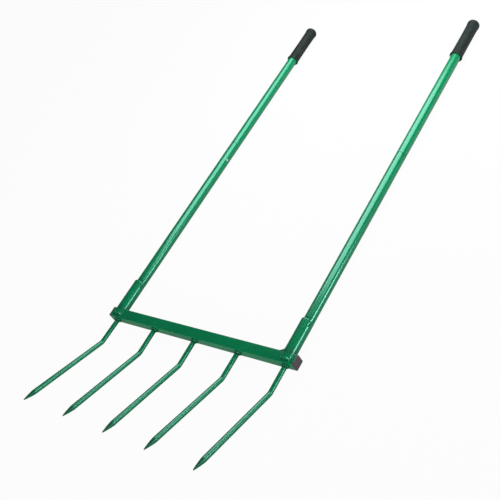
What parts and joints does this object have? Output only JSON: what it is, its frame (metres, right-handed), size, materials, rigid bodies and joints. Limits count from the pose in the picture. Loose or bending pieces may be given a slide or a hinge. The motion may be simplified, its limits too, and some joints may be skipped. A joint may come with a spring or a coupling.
{
  "type": "broadfork",
  "caption": "Broadfork: bent pointed tines under a square-tube crossbar, with two long take-apart tube handles in welded sockets, each ending in a rubber grip.",
  "frame": {"origin": "middle of the crossbar's back face, which the fork lies on", "axes": "+X along the crossbar, +Y up the handles towards the grips (the tines point to -Y), +Z out of the fork's front, towards which the tines are bent"},
  "size_m": [0.5556, 1.3304, 0.101],
  "materials": {
    "bar_paint": "glossy green enamel",
    "tine_paint": "glossy green enamel",
    "socket_paint": "glossy green enamel",
    "handle_paint": "glossy green enamel",
    "socket_button_paint": "glossy green enamel",
    "mid_button_steel": "bright zinc",
    "spring_steel": "blued spring steel",
    "cap_plastic": "moulded, matte",
    "grip_rubber": "moulded, satin"
  },
  "bodies": {
    "fork": {"crossbar": "bar_paint", "end_cap_left": "cap_plastic", "end_cap_right": "cap_plastic", "grip_left": "grip_rubber", "grip_right": "grip_rubber", "handle_socket_left": "socket_paint", "handle_socket_right": "socket_paint", "lower_handle_left": "handle_paint", "lower_handle_right": "handle_paint", "mid_button_spring_left": "spring_steel", "mid_button_spring_right": "spring_steel", "socket_button_spring_left": "spring_steel", "socket_button_spring_right": "spring_steel", "tine_1": "tine_paint", "tine_2": "tine_paint", "tine_3": "tine_paint", "tine_4": "tine_paint", "tine_5": "tine_paint", "upper_handle_left": "handle_paint", "upper_handle_right": "handle_paint"},
    "socket_button_left": {"socket_button_left": "socket_button_paint"},
    "socket_button_right": {"socket_button_right": "socket_button_paint"},
    "mid_button_left": {"mid_button_left": "mid_button_steel"},
    "mid_button_right": {"mid_button_right": "mid_button_steel"}
  },
  "joints": [
    {"name": "socket_button_left_press", "type": "slide", "parent": "fork", "child": "socket_button_left", "axis": [-0.788, 0, -0.6157], "range_m": [0, 0.003], "stiffness_N_per_m": 900, "springref_m": -0.004, "deforming": ["socket_button_spring_left"]},
    {"name": "socket_button_right_press", "type": "slide", "parent": "fork", "child": "socket_button_right", "axis": [-0.788, 0, -0.6157], "range_m": [0, 0.003], "stiffness_N_per_m": 900, "springref_m": -0.004, "deforming": ["socket_button_spring_right"]},
    {"name": "mid_button_left_press", "type": "slide", "parent": "fork", "child": "mid_button_left", "axis": [-0.9781, 0, -0.2079], "range_m": [0, 0.003], "stiffness_N_per_m": 900, "springref_m": -0.004, "deforming": ["mid_button_spring_left"]},
    {"name": "mid_button_right_press", "type": "slide", "parent": "fork", "child": "mid_button_right", "axis": [0.9781, 0, 0.2079], "range_m": [0, 0.003], "stiffness_N_per_m": 900, "springref_m": -0.004, "deforming": ["mid_button_spring_right"]}
  ]
}
